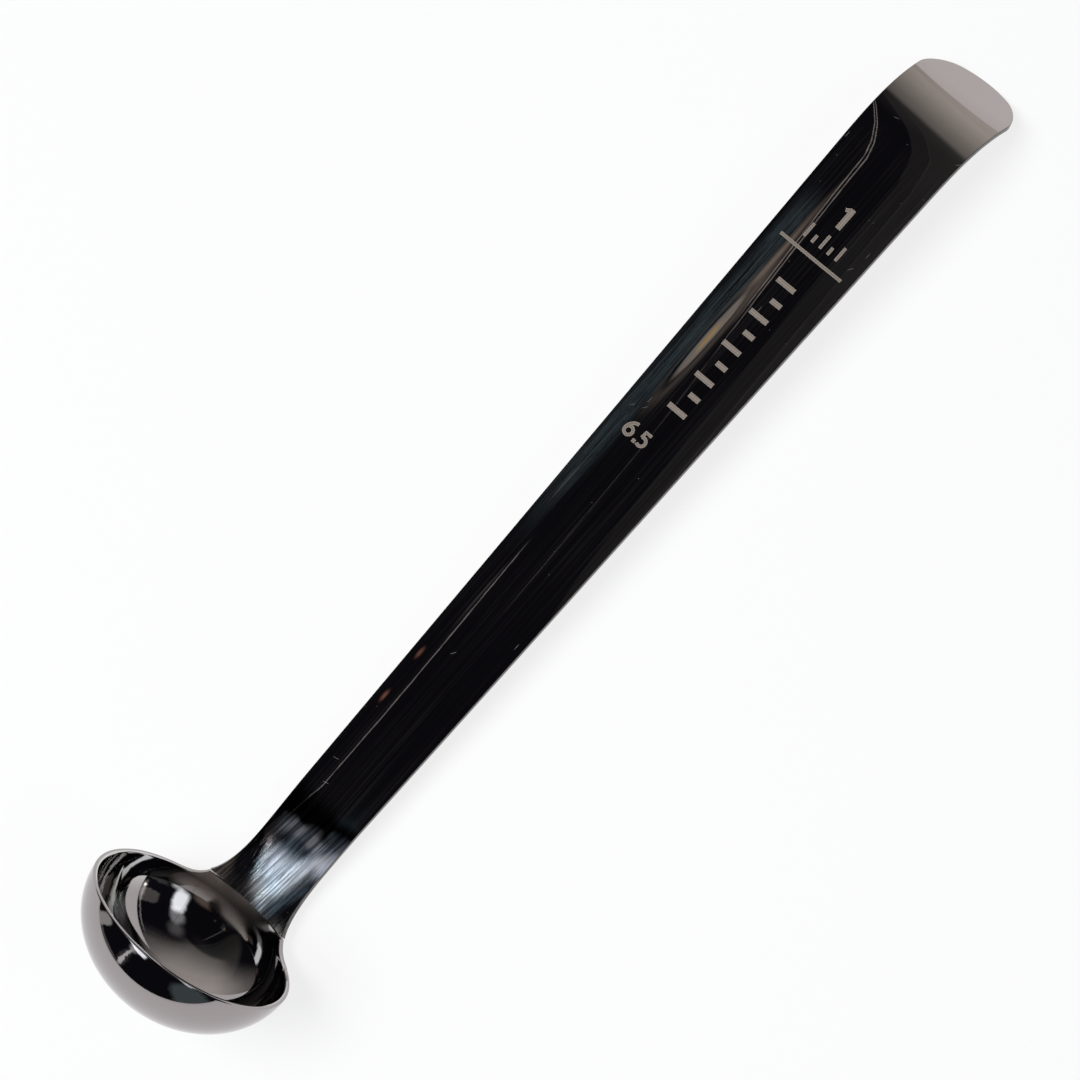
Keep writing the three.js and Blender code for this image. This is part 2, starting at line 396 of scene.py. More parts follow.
def make_handle_mesh(shape):
    """Front face, rear face, the rounded edge between them and the seam face."""
    shell = Shell()
    depths, insets = edge_profile(shape.sheet, shape.edge_round, shape.edge_round, EDGE_STEPS)
    seam_depths, seam_insets = edge_profile(shape.sheet, shape.seam_round, shape.seam_round,
                                            EDGE_STEPS)
    border, border_places, seam, seam_places = [], [], [], []
    for step, (depth, inset) in enumerate(zip(depths, insets)):
        along, across = strip_grid(shape, depth, inset, seam_insets[step])
        deep = np.full_like(along, depth)
        deep[0] = seam_depths[step]
        points = strip_point(shape, along, across, deep)
        places = strip_places(shape, along, across)
        if step in (0, len(depths) - 1):
            shell.add(points, places, turned=step == 0)
        border.append(border_of(points))
        border_places.append(border_of(places))
        seam.append(points[0])
        seam_places.append(places[0])
    shell.add(np.array(border), np.array(border_places), turned=True, slot=1)
    shell.add(np.array(seam), np.array(seam_places))
    return shell.make("spoon_handle", STRIP_UV, SHARP_ANGLE)


def bowl_angles(shape):
    """Angles round the bowl from one end of the seam, over the front, and back along it."""
    seam_half = half_width(shape, np.array(shape.seam_height))
    seam = np.arcsin(spread(seam_half) / shape.bowl_radius)
    flare_end = math.asin((shape.neck_width / 2 + shape.flare_width) / shape.bowl_radius)
    one_flare = np.linspace(seam[-1], flare_end, FLARE_COLUMNS + 1)[1:]
    rim = np.linspace(flare_end, 2 * math.pi - flare_end, RIM_COLUMNS + 1)[1:-1]
    return np.r_[seam, one_flare, rim, 2 * math.pi - one_flare[::-1]]


def make_bowl_mesh(shape):
    """Rings from the bottom up the inside, over the edge, and down the outside."""
    angle = bowl_angles(shape)
    ups, depths = [], []
    quarter = np.linspace(0, math.pi / 2, BOWL_RINGS, endpoint=False)
    for depth in (0, shape.sheet):
        ups.append(-(shape.bowl_depth + depth) * np.cos(quarter)[:, None] + 0 * angle)
        depths.append(np.full_like(ups[-1], depth))
    height = np.where(np.cos(angle) > 0,
                      edge_height(shape, shape.bowl_radius * np.sin(angle)), 0)
    joined = height > shape.seam_height - MERGE / 10
    seam_depths, seam_insets = edge_profile(shape.sheet, shape.seam_round, shape.seam_round,
                                            EDGE_STEPS)
    edge = edge_profile(shape.sheet, shape.edge_round, shape.edge_round, EDGE_STEPS)
    lip = edge_profile(shape.sheet, shape.lip_inside, shape.lip_outside, EDGE_STEPS)
    columns_in = 0.5 * RIM_COLUMNS - np.abs(np.arange(len(angle)) - 0.5 * len(angle))
    rim = (height <= 0) * np.clip(columns_in / LIP_FADE_COLUMNS, 0, 1)
    edge_depths, edge_insets = (one[:, None] * (1 - rim) + two[:, None] * rim
                                for one, two in zip(edge, lip))
    inset = np.where(joined, seam_insets[:, None], edge_insets)
    deep = np.where(joined, seam_depths[:, None], edge_depths)
    up = np.concatenate([ups[0], height - inset, ups[1][::-1]])
    depth = np.concatenate([depths[0], deep, depths[1][::-1]])
    points = wall_point(shape, angle, up, depth)
    turn = np.broadcast_to(angle / (2 * math.pi), up.shape)
    out = depth / shape.sheet
    unrolled = (1 - 2 * out) * up + 2 * out * shape.seam_height
    places = np.stack([turn, 0.5 + unrolled / shape.bowl_radius / WALL_UV_RADII], axis=-1)
    shell = Shell()
    shell.add(points, places, closed=True, turned=True)
    return shell.make("spoon_bowl", WALL_UV, SHARP_ANGLE)


# Marks

MARK_LIFT = 0.010 * MM
MARK_SINK = 0.020 * MM
MARK_STEP = 0.09 * MM
MARK_COLUMNS = 8


def line(*points):
    """Path through points, in steps no longer than the marks' step."""
    points = np.array(points, float) * MM
    parts = []
    for start, end in zip(points[:-1], points[1:]):
        count = max(2, int(np.ceil(np.hypot(*(end - start)) / MARK_STEP)))
        parts.append(start + (end - start) * np.linspace(0, 1, count, endpoint=False)[:, None])
    return np.concatenate([*parts, points[-1:]])


def arc(x, y, radius_x, radius_y, start, end):
    """Part of an ellipse about x, y between two angles in degrees."""
    count = max(8, int(abs(end - start) / 6))
    turn = np.radians(np.linspace(start, end, count + 1))
    return np.stack([x + radius_x * np.cos(turn), y + radius_y * np.sin(turn)], -1) * MM


def path_edge_distance(path, half, points):
    """Distance inwards from a stroke's outline: half the stroke less the distance to the
    path, and not more than the distance to the path's square ends."""
    start, step = path[:-1], path[1:] - path[:-1]
    size = (step ** 2).sum(-1)
    offset = points[:, None] - start
    share = (offset * step).sum(-1) / size
    near = start + np.clip(share, 0, 1)[..., None] * step
    away = np.linalg.norm(points[:, None] - near, axis=-1)
    nearest = away.argmin(1)
    inside = half - away[np.arange(len(points)), nearest]
    if np.allclose(path[0], path[-1]):
        return inside
    begin = share[:, 0] * np.sqrt(size[0])
    finish = (1 - share[:, -1]) * np.sqrt(size[-1])
    inside = np.where(nearest == 0, np.minimum(inside, begin), inside)
    return np.where(nearest == len(step) - 1, np.minimum(inside, finish), inside)


def path_normals(path):
    """Unit vectors to the left of the path, mitred where it turns."""
    step = np.diff(path, axis=0)
    step /= np.linalg.norm(step, axis=1)[:, None]
    closed = np.allclose(path[0], path[-1])
    before = np.vstack([step[-1:] if closed else step[:1], step])
    after = np.vstack([step, step[:1] if closed else step[-1:]])
    left = np.stack([-(before + after)[:, 1], (before + after)[:, 0]], -1)
    left /= np.linalg.norm(left, axis=1)[:, None]
    straight = np.stack([-before[:, 1], before[:, 0]], -1)
    return left / np.maximum(0.5, (left * straight).sum(-1))[:, None]


def add_stroke(shell, shape, glyph, index, place, turned_along):
    """One stroke of a mark: a thin band of the surface, closed into a shell."""
    path, half = glyph[index]
    offsets = np.linspace(-half, half, MARK_COLUMNS + 1)
    flat = path[:, None] + path_normals(path)[:, None] * offsets[None, :, None]
    inside = np.max([path_edge_distance(other, width, flat.reshape(-1, 2))
                     for other, width in glyph], axis=0).reshape(flat.shape[:2])
    along, across = place_on_strip(flat, place, turned_along)
    top = strip_point(shape, along, across, -MARK_LIFT - index * MARK_LIFT / 4)
    bottom = strip_point(shape, along, across, MARK_SINK)
    length = handle_length(shape)
    places = np.stack([np.maximum(inside, 0) / MM / 2, along / length], -1)
    ring = np.concatenate([top, bottom[:, ::-1]], axis=1)
    ring_places = np.concatenate([places, places[:, ::-1]], axis=1)
    shell.add(ring, ring_places, closed=True, turned=turned_along)
    if not np.allclose(path[0], path[-1]):
        for row, flip in ((0, turned_along), (-1, not turned_along)):
            cap = np.stack([top[row], bottom[row]])
            shell.add(cap, np.stack([places[row], places[row]]), turned=flip)


def place_on_strip(flat, place, turned_along):
    """From a mark's own plane to along and across; a turned mark reads along the handle."""
    if turned_along:
        return place[0] + flat[..., 0], place[1] - flat[..., 1]
    return place[0] + flat[..., 1], place[1] + flat[..., 0]


def numeral_one():
    return [(line((0, -1.8), (0, 1.8)), 0.44 * MM),
            (line((-0.95, 1.1), (-0.2, 1.48), (0.28, 1.52)), 0.30 * MM)]


def numeral_six():
    return [(arc(0, 0, 0.68, 0.68, 0, 360), 0.26 * MM),
            (arc(0.87, 0, 1.55, 1.58, 180, 95), 0.26 * MM)]


def point():
    return [(line((-0.29, 0), (0.29, 0)), 0.29 * MM)]


def numeral_five():
    return [(line((0.78, 1.5), (-0.26, 1.5), (-0.39, 0.51)), 0.24 * MM),
            (arc(0, 0, 0.69, 0.69, 125, -130), 0.26 * MM)]


def tick(length, half):
    return [(line((0, 0), (0, length)), half * MM)]


def row_of_ticks(count, lengths, half, first, step, turned_along):
    """Marks in a row: ticks of two lengths by turns, from a first place on by equal steps."""
    return [(tick(lengths[index % 2], half),
             (first[0] + step[0] * index, first[1] + step[1] * index), turned_along)
            for index in range(count)]


def marks_of_front():
    """Every mark: its strokes, where it stands on the strip in mm, and whether it is turned."""
    return [
        ([(line((-5.8, 0.04), (5.85, -0.04)), 0.26 * MM)], (126.15, 0.25), False),
        (numeral_one(), (133.54, 0.52), False),
        (numeral_six(), (90.0, -3.32), False),
        (point(), (89.3, -1.72), False),
        (numeral_five(), (89.9, -0.74), False),
        *row_of_ticks(5, (2.4, 1.3), 0.25, (127.9, -2.6), (0, 1.5), False),
        *row_of_ticks(9, (3.3, 1.9), 0.42, (96.7, 1.92), (3.0, 0), True),
    ]


def make_marks_mesh(shape):
    shell = Shell()
    for glyph, place, turned_along in marks_of_front():
        place = (place[0] * MM, place[1] * MM)
        for index in range(len(glyph)):
            add_stroke(shell, shape, glyph, index, place, turned_along)
    return shell.make("front_marks", MARK_UV, SHARP_ANGLE)


# Short ways to write node trees

class Nodes:
    """Short way to write a node tree: each call adds nodes and gives back an output."""

    def __init__(self, tree):
        self.tree = tree
        tree.nodes.clear()

    def node(self, kind, inputs=None, **settings):
        made = self.tree.nodes.new(kind)
        for key, value in settings.items():
            setattr(made, key, value)
        for key, value in (inputs or {}).items():
            self.feed(made.inputs[key], value)
        return made

    def feed(self, socket, value):
        if isinstance(value, bpy.types.NodeSocket):
            self.tree.links.new(value, socket)
        else:
            socket.default_value = float(value) if isinstance(value, int) else value

    def filled(self, kind, values, **settings):
        """Node whose inputs are filled in their order."""
        made = self.node(kind, **settings)
        for socket, value in zip(made.inputs, values):
            self.feed(socket, value)
        return made

    def math(self, operation, *values):
        return self.filled("ShaderNodeMath", values, operation=operation).outputs[0]

    def vector_math(self, operation, *values):
        return self.filled("ShaderNodeVectorMath", values, operation=operation).outputs[0]

    def times(self, first, *others):
        for other in others:
            first = self.math("MULTIPLY", first, other)
        return first

    def largest(self, first, *others):
        for other in others:
            first = self.math("MAXIMUM", first, other)
        return first

    def plus(self, total, share, amount):
        """The total, plus a share of an amount."""
        return self.math("MULTIPLY_ADD", share, amount, total)

    def minus(self, value, taken):
        return self.math("SUBTRACT", value, taken)

    def away(self, value, middle):
        """Distance from a middle, to either side."""
        return self.math("ABSOLUTE", self.minus(value, middle))

    def smooth(self, value, low, high, to_low=0.0, to_high=1.0):
        made = self.node("ShaderNodeMapRange", {
            "Value": value, "From Min": low, "From Max": high, "To Min": to_low,
            "To Max": to_high}, interpolation_type="SMOOTHSTEP", clamp=True)
        return made.outputs["Result"]

    def fade_out(self, value, low, high):
        """1 up to the low value, falling smoothly to 0 at the high one."""
        return self.smooth(value, low, high, 1.0, 0.0)

    def noise(self, place, scale, detail, roughness):
        made = self.node("ShaderNodeTexNoise", {
            "Vector": self.scaled(place, scale), "Scale": 1.0, "Detail": detail,
            "Roughness": roughness}, noise_dimensions="3D")
        return made.outputs["Fac"]

    def scaled(self, place, scale, turn=0.0):
        made = self.node("ShaderNodeMapping", {"Vector": place, "Scale": scale,
                                               "Rotation": (0.0, 0.0, turn)})
        return made.outputs["Vector"]

    def near(self, place, middle, inner, outer):
        """1 within the inner distance of a point, falling to 0 at the outer one."""
        made = self.filled("ShaderNodeVectorMath", (place, middle), operation="DISTANCE")
        return self.fade_out(made.outputs["Value"], inner, outer)

    def mix_colour(self, share, one, two):
        made = self.node("ShaderNodeMix", {"Factor": share, 6: one, 7: two}, data_type="RGBA")
        return made.outputs[2]

    def bump(self, height, distance, normal=None):
        made = self.node("ShaderNodeBump", {"Height": height, "Distance": distance,
                                            "Strength": 1.0})
        if normal:
            self.feed(made.inputs["Normal"], normal)
        return made.outputs["Normal"]

    def uv(self, name):
        return self.node("ShaderNodeUVMap", uv_map=name).outputs["UV"]

    def object_place(self):
        return self.node("ShaderNodeTexCoord").outputs["Object"]

    def split(self, vector):
        return self.node("ShaderNodeSeparateXYZ", {"Vector": vector}).outputs


def colour(value):
    return (*value, 1.0)


def new_material(name):
    material = bpy.data.materials.new(name)
    material.use_nodes = True
    return material, Nodes(material.node_tree)


def finish_material(nodes, shader_output):
    nodes.node("ShaderNodeOutputMaterial", {"Surface": shader_output})


def finish_surface(nodes, base, metallic, rough, normal):
    """End a material with one shader of the given colour, metal share and roughness."""
    shader = nodes.node("ShaderNodeBsdfPrincipled", {
        "Base Color": base, "Metallic": metallic, "Roughness": rough, "Normal": normal})
    finish_material(nodes, shader.outputs[0])
    return shader


# Finishes

# Stretches along the strip over which something fades out, measured from the bowl's rim.
SCORED_FADE = (7 * MM, 17 * MM)
ROUGH_BASE_FADE = (3.2 * MM, 5.2 * MM)
SEAM_HIGHLIGHT_FADE = (5.0 * MM, 8.5 * MM)
NECK_SHADE_FADE = (18 * MM, 22 * MM)
DULL_FADE = (140 * MM, 148 * MM)
STREAK_FADE = (143 * MM, 150 * MM)
DUSTIER = (130 * MM, 139 * MM)
# The neck's painted shade starts at this place on the strip's middle line, further up to one
# side by the slant, and nowhere before the lowest start.
NECK_SHADE_START = 7.6 * MM
NECK_SHADE_LOWEST = 8.0 * MM
NECK_SHADE_SLANT = 0.9
NECK_SHADE_RISE = 4.2 * MM
NECK_LEAN = -0.13
# Distances from the dressed spot on the seam, and heights of the bands of painted highlight on
# the bowl's UV map.
SEAM_SIDE = -1.2 * MM
STRIP_DRESSED = (2.2 * MM, 5.5 * MM)
BOWL_DRESSED = (2.5 * MM, 6.5 * MM)
BOWL_DULL = (4 * MM, 11 * MM)
BAND_GAP = (9 * MM, 16 * MM)
BAND_FOOT = (0.405, 0.475)
BAND_TOP = (0.515, 0.53)
LEFT_BAND_FOOT = (0.35, 0.39)
LEFT_BAND_START = (0.70, 0.73)
LEFT_BAND_END = (0.785, 0.800)


def seam_spot(shape):
    """Middle of the dressed stretch of the seam, on the front face."""
    place = strip_point(shape, np.array(shape.seam_height), np.array(SEAM_SIDE), np.array(0.0))
    return tuple(float(value) for value in place)


def handle_steel(finish, shape):
    """Polished strip: mirror with fine lengthwise scratches, a scored neck, slow waves in the
    sheet, and specks of dust; paler by painted highlight just above the seam, and darkened by
    painted shade above the scores."""
    material, nodes = new_material("polished_strip_steel")
    length = handle_length(shape)
    flat = nodes.scaled(nodes.uv(STRIP_UV), (length, length, 1))
    split = nodes.split(flat)
    along = split["X"]
    across = nodes.minus(split["Y"], 0.5 * length)
    neck = nodes.fade_out(along, *SCORED_FADE)
    streak, specks = strip_wear(nodes, flat, along)
    worn = nodes.largest(streak, nodes.times(specks, 0.26))
    base = strip_colour(nodes, finish, flat, along)
    base = neck_colour(nodes, finish, base, flat, along, across, neck)
    finish_surface(nodes, base, nodes.minus(1.0, worn),
                   strip_roughness(nodes, shape, along, neck, specks),
                   strip_waves(nodes, flat, neck))
    return material


def strip_colour(nodes, finish, flat, along):
    """Steel that is paler just above the seam, as painted highlight, and dull in fine scratches
    up the shank.
    """
    # Painted highlight: the paler colour just above the seam.
    pale = nodes.fade_out(along, *SEAM_HIGHLIGHT_FADE)
    base = nodes.mix_colour(pale, colour(finish.steel), colour(finish.painted_highlight))
    scratches = nodes.smooth(nodes.noise(flat, (60, 2900, 1), 3, 0.6), 0.38, 0.70)
    dull = nodes.times(scratches, nodes.fade_out(along, *DULL_FADE), 0.6)
    return nodes.mix_colour(dull, base, colour(finish.steel_dull))


def neck_colour(nodes, finish, base, flat, along, across, neck):
    """The strip's colour with the neck's dark scores, which lean a little, and with painted shade
    laid on the stretch above them, uneven in lengthwise streaks."""
    leaning = nodes.scaled(flat, (1, 1, 1), NECK_LEAN)
    scores = nodes.smooth(nodes.noise(leaning, (60, 2300, 1), 4, 0.65), 0.42, 0.58, 0.0, 0.70)
    base = nodes.mix_colour(nodes.times(scores, neck), base, colour(finish.edge))
    start = nodes.largest(nodes.plus(NECK_SHADE_START, across, NECK_SHADE_SLANT),
                          NECK_SHADE_LOWEST)
    # Painted shade: the stretch above the scores is darkened towards the neck's dark colour.
    dark = nodes.times(nodes.smooth(nodes.minus(along, start), 0.0, NECK_SHADE_RISE),
                       nodes.fade_out(along, *NECK_SHADE_FADE))
    uneven = nodes.smooth(nodes.noise(leaning, (45, 1500, 1), 3, 0.6), 0.42, 0.56, 0.84, 1.0)
    return nodes.mix_colour(nodes.times(dark, uneven), base, colour(finish.neck_shade))


def strip_roughness(nodes, shape, along, neck, specks):
    """Nearly a mirror, but less smooth on the neck, right at the seam and in the specks."""
    dressed = nodes.near(nodes.object_place(), seam_spot(shape), *STRIP_DRESSED)
    by_seam = nodes.largest(dressed, nodes.fade_out(along, *ROUGH_BASE_FADE))
    rough = nodes.plus(0.008, neck, 0.03)
    rough = nodes.plus(rough, by_seam, 0.10)
    return nodes.plus(rough, specks, 0.3)


def strip_waves(nodes, flat, neck):
    """Normal of the strip: slow waves, fine polishing lines, and deep scores at the neck."""
    wave = nodes.noise(flat, (22, 90, 1), 1, 0.4)
    ripple = nodes.noise(flat, (160, 420, 1), 1, 0.4)
    hair = nodes.noise(flat, (110, 5200, 1), 3, 0.6)
    score = nodes.noise(flat, (200, 4600, 1), 3, 0.65)
    crossing = nodes.noise(nodes.scaled(flat, (1, 1, 1), 0.12), (160, 5200, 1), 1, 0.5)
    cuts = nodes.math("ADD", score, nodes.smooth(crossing, 0.58, 0.68, 0.0, 0.25))
    normal = nodes.bump(wave, 22e-6)
    normal = nodes.bump(ripple, 1.0e-6, normal)
    normal = nodes.bump(hair, 0.12e-6, normal)
    return nodes.bump(nodes.times(cuts, nodes.plus(0.014, neck, 1.0)), 7.5e-6, normal)


def strip_wear(nodes, flat, along):
    """Shares of worn surface: faint lengthwise streaks, and dust and lint more at the top."""
    area = nodes.smooth(nodes.noise(flat, (30, 160, 1), 2, 0.5), 0.35, 0.65, 0.006, 0.026)
    area = nodes.times(area, nodes.fade_out(along, *STREAK_FADE))
    fine = nodes.smooth(nodes.noise(flat, (16, 2600, 1), 3, 0.6), 0.42, 0.78)
    thin = nodes.smooth(nodes.noise(flat, (24, 6500, 1), 2, 0.5), 0.68, 0.74)
    streak = nodes.largest(nodes.times(fine, area), nodes.times(thin, nodes.times(area, 2.2)))
    rare = nodes.smooth(along, *DUSTIER, 0.945, 0.80)
    dust = speck(nodes, flat, 420, 0.034, rare)
    lint = speck(nodes, nodes.scaled(flat, (0.16, 2.0, 1), 0.42), 300, 0.034, rare)
    nick = nodes.scaled(nodes.scaled(flat, (1, 1, 1), -0.62), (0.22, 2.2, 1))
    nick = speck(nodes, nick, 260, 0.036, 0.90)
    cut = nodes.scaled(nodes.scaled(flat, (1, 1, 1), -1.30), (0.25, 3.0, 1))
    cut = speck(nodes, cut, 240, 0.036, 0.94)
    return streak, nodes.largest(dust, nodes.largest(nick, cut, lint))


def speck(nodes, place, scale, radius, rare):
    """Small dots: near the middle of a random cell, in only a few of the cells."""
    cells = nodes.node("ShaderNodeTexVoronoi", {"Vector": place, "Scale": scale},
                       voronoi_dimensions="2D").outputs
    near = nodes.fade_out(cells["Distance"], radius * 0.5, radius)
    pick = nodes.split(cells["Color"])["X"]
    return nodes.times(near, nodes.math("GREATER_THAN", pick, rare))


def shaded_edge_steel(finish):
    """Ground edge of the sheet: duller and less smooth than the polished faces, and darker by
    painted shade that stands in for its dark reflection.
    """
    material, nodes = new_material("edge_steel_painted_dark")
    grain = nodes.noise(nodes.object_place(), (900, 2600, 2600), 2, 0.6)
    # Painted shade: the edge's near black colour.
    base = nodes.mix_colour(grain, colour(finish.edge), colour(finish.steel_dull))
    finish_surface(nodes, base, 1.0, nodes.plus(0.22, grain, 0.15), nodes.bump(grain, 2e-6))
    return material


def lip_highlight_share(nodes, place, rings, spot):
    """Share of the paler band under the lip, a painted highlight, which stops short of the seam
    and reaches further down on the left."""
    split = nodes.split(rings)
    turn, height = split["X"], split["Y"]
    band = nodes.times(nodes.smooth(height, *BAND_FOOT), nodes.fade_out(height, *BAND_TOP),
                       nodes.minus(1.0, nodes.near(place, spot, *BAND_GAP)))
    left = nodes.times(nodes.smooth(turn, *LEFT_BAND_START),
                       nodes.fade_out(turn, *LEFT_BAND_END),
                       nodes.smooth(height, *LEFT_BAND_FOOT),
                       nodes.fade_out(height, *BAND_TOP))
    return nodes.largest(band, left)


def bowl_steel(finish, shape):
    """Mirror-polished wall: rings of fine polishing lines, slow waves from pressing that grow
    towards the lip inside, a paler band under the lip that is painted highlight, and a duller
    dressed stretch by the seam."""
    material, nodes = new_material("mirror_bowl_steel")
    place = nodes.object_place()
    rings = nodes.uv(WALL_UV)
    spot = seam_spot(shape)
    upper = lip_highlight_share(nodes, place, rings, spot)
    lines = nodes.noise(rings, (6, 900, 1), 3, 0.6)
    wave = nodes.noise(place, (120, 120, 120), 1, 0.4)
    buckle = nodes.times(nodes.noise(place, (230, 230, 230), 2, 0.5), upper)
    spots = nodes.smooth(nodes.noise(place, (1500, 1500, 1500), 2, 0.5), 0.68, 0.75)
    # Painted highlight: the band under the lip takes the paler steel colour.
    base = nodes.mix_colour(upper, colour(finish.bowl), colour(finish.painted_highlight))
    dull = nodes.largest(nodes.smooth(lines, 0.5, 0.8, 0.0, 0.12),
                         nodes.times(nodes.near(place, spot, *BOWL_DULL), 0.8))
    base = nodes.mix_colour(dull, base, colour(finish.bowl_seam))
    rough = nodes.plus(0.02, lines, 0.03)
    rough = nodes.plus(rough, spots, 0.05)
    rough = nodes.plus(rough, nodes.near(place, spot, *BOWL_DRESSED), 0.22)
    normal = nodes.bump(wave, 25e-6)
    normal = nodes.bump(buckle, 90e-6, normal)
    normal = nodes.bump(lines, 0.25e-6, normal)
    finish_surface(nodes, base, 1.0, rough, normal)
    return material


def frosted_mark(finish):
    """Frosted marks: pale, with a fine darker line just inside the outline."""
    material, nodes = new_material("frosted_mark")
    inside = nodes.split(nodes.uv(MARK_UV))["X"]
    outline = nodes.times(nodes.smooth(inside, 0.055, 0.080),
                          nodes.fade_out(inside, 0.130, 0.165), 0.75)
    grain = nodes.noise(nodes.object_place(), (9000, 9000, 9000), 2, 0.6)
    share = nodes.plus(outline, nodes.smooth(grain, 0.35, 0.7), 0.22)
    base = nodes.mix_colour(share, colour(finish.mark), colour(finish.mark_line))
    shader = finish_surface(nodes, base, 0.0, 0.62, nodes.bump(grain, 4e-6))
    shader.inputs["Specular IOR Level"].default_value = 0.3
    return material


# Studio

# Patches of the studio's light, as seen from the spoon. Each has its name, the map that it is
# drawn on, the two places of its middle, its two half widths, the power of its outline (2 is
# an ellipse, more is squarer), the shares of the way out where it starts and ends to fade, and
# its light. The wall's map is azimuth and elevation in degrees. The ceiling's map is x and y on
# a ceiling one unit up, and the slope's map is the same, only a little uneven.
STUDIO_PATCHES = (
    ("warm wall", "wall", 33, 0, 70, 49, 2, 0.0, 1.0, (0.605, 0.588, 0.544)),
    ("warm wall end", "wall", 50, 10, 22, 22, 2, 0.2, 1.0, (0.08, 0.078, 0.072)),
    ("warm wall top", "wall", 12, 50, 26, 12, 2, 0.0, 1.0, (0.012, 0.012, 0.011)),
    ("skirting", "wall", -50, 3.4, 27, 1.1, 4, 0.6, 1.1, (0.30, 0.29, 0.28)),
    ("door", "wall", -63, 12, 8, 12, 5, 0.75, 1.05, (0.15, 0.14, 0.135)),
    ("door foot", "wall", -67, 3, 14, 4.5, 2, 0.3, 1.0, (0.45, 0.44, 0.43)),
    ("door lamp", "wall", -73, 3, 3, 2.4, 2, 0.4, 1.0, (2.2, 2.2, 2.1)),
    ("door frame", "wall", -87, 12, 4.5, 16, 3, 0.5, 1.1, (0.06, 0.062, 0.062)),
    ("left post", "wall", 161, 18, 1.8, 19, 6, 0.6, 1.1, (0.90, 0.92, 0.93)),
    ("left post glow", "wall", 161, 18, 6, 22, 2, 0.1, 1.0, (0.12, 0.125, 0.13)),
    ("left post top", "wall", 161, 39, 8, 8, 2, 0.1, 1.0, (0.65, 0.70, 0.70)),
    ("left screen", "wall", -139, 10, 16, 20, 3, 0.7, 1.1, (0.095, 0.128, 0.130)),
    ("left lamp", "wall", -129, 30, 3.6, 8.0, 2, 0.4, 1.0, (2.6, 2.7, 2.7)),
    ("rear panel", "wall", 129, 9, 5.5, 13, 4, 0.7, 1.1, (0.55, 0.56, 0.53)),
    ("rear glint", "wall", 118, 21, 2.5, 5, 2, 0.5, 1.0, (1.2, 1.2, 1.1)),
    ("low clutter", "wall", 146, 2, 16, 3, 3, 0.5, 1.0, (0.16, 0.16, 0.15)),
    ("front window", "wall", -73, 46.0, 26, 9.8, 3, 0.55, 1.10, (2.25, 2.50, 2.60)),
    ("front window foot", "wall", -94, 35, 9, 10, 2, 0.2, 1.0, (0.95, 1.05, 1.05)),
    ("front window side", "wall", -45, 44.5, 17, 9.5, 3, 0.5, 1.1, (0.42, 0.46, 0.47)),
    ("front window end", "wall", -24, 38, 14, 11, 2, 0.2, 1.1, (0.15, 0.155, 0.155)),
    ("front glow", "wall", -108, 64, 22, 16, 2, 0.2, 1.0, (0.22, 0.18, 0.155)),
    ("north sill", "wall", 164, 44, 16, 5.0, 4, 0.7, 1.05, (2.3, 2.5, 2.6)),
    ("teal corner", "slope", -0.24, 0.37, 0.07, 0.07, 2, 0.0, 1.0, (0.018, 0.034, 0.038)),
    ("ceiling lamp", "ceiling", 0.044, -0.035, 0.030, 0.022, 2, 0.6, 1.0, (0.11, 0.10, 0.095)),
    ("dish", "ceiling", 0.035, 0.195, 0.050, 0.035, 2, 0.1, 1.0, (0.27, 0.24, 0.205)),
    ("dish tail", "ceiling", 0.072, 0.187, 0.034, 0.014, 2, 0.0, 1.0, (0.24, 0.195, 0.160)),
    ("dish shade", "ceiling", 0.030, 0.192, 0.031, 0.024, 2, 0.60, 1.0, (-0.17, -0.15, -0.13)),
    ("dish lens", "ceiling", 0.030, 0.1925, 0.024, 0.016, 2, 0.65, 1.0, (0.30, 0.285, 0.26)),
    ("dish core", "ceiling", 0.0298, 0.1925, 0.0100, 0.0080, 2, 0.4, 1.0, (0.30, 0.13, -0.10)),
    ("red lamp", "ceiling", -0.145, 0.162, 0.0038, 0.0095, 2, 0.1, 1.0, (0.34, 0.15, 0.11)),
    ("red lamp two", "ceiling", -0.125, 0.158, 0.0036, 0.0095, 2, 0.1, 1.0, (0.30, 0.14, 0.105)),
    ("low band", "ceiling", -0.095, 0.184, 0.020, 0.006, 2, 0.2, 1.0, (0.06, 0.062, 0.060)),
    ("upper band", "ceiling", -0.043, 0.153, 0.012, 0.008, 2, 0.2, 1.0, (0.06, 0.065, 0.062)),
)
# The window behind the spoon. Each part has its name, the two places of its middle, its two half
# widths and its light. They are all soft ellipses on the slope's map, and they add up.
WINDOW_PANES = (
    ("lower pane", -0.52, 0.12, 0.08, 0.24, (2.6, 3.2, 3.9)),
    ("lower corner", -0.46, 0.00, 0.04, 0.12, (1.8, 2.5, 3.0)),
    ("middle pane", -0.49, 0.27, 0.10, 0.06, (0.9, 1.2, 1.4)),
    ("upper pane", -0.52, 0.44, 0.04, 0.24, (1.6, 2.0, 2.4)),
    ("upper haze", -0.48, 0.44, 0.10, 0.24, (0.4, 0.55, 0.7)),
    ("bar on the left", -0.46, 0.42, 0.08, 0.06, (1.25, 1.5, 1.8)),
    ("bar on the right", -0.39, 0.37, 0.09, 0.035, (0.9, 1.15, 1.3)),
    ("upper corner", -0.46, 0.49, 0.05, 0.07, (0.8, 0.9, 1.05)),
    ("top pane", -0.50, 0.59, 0.10, 0.24, (0.75, 0.9, 1.0)),
    ("right pane", -0.40, 0.31, 0.06, 0.27, (1.6, 1.8, 2.0)),
    ("right corner", -0.36, 0.49, 0.06, 0.18, (0.9, 1.1, 1.35)),
    ("top haze", -0.40, 0.79, 0.08, 0.24, (0.13, 0.20, 0.26)),
    ("glint", -0.42, 0.08, 0.025, 0.04, (4.6, 5.0, 5.2)),
    ("glint haze", -0.38, 0.08, 0.06, 0.08, (0.35, 0.30, 0.32)),
)
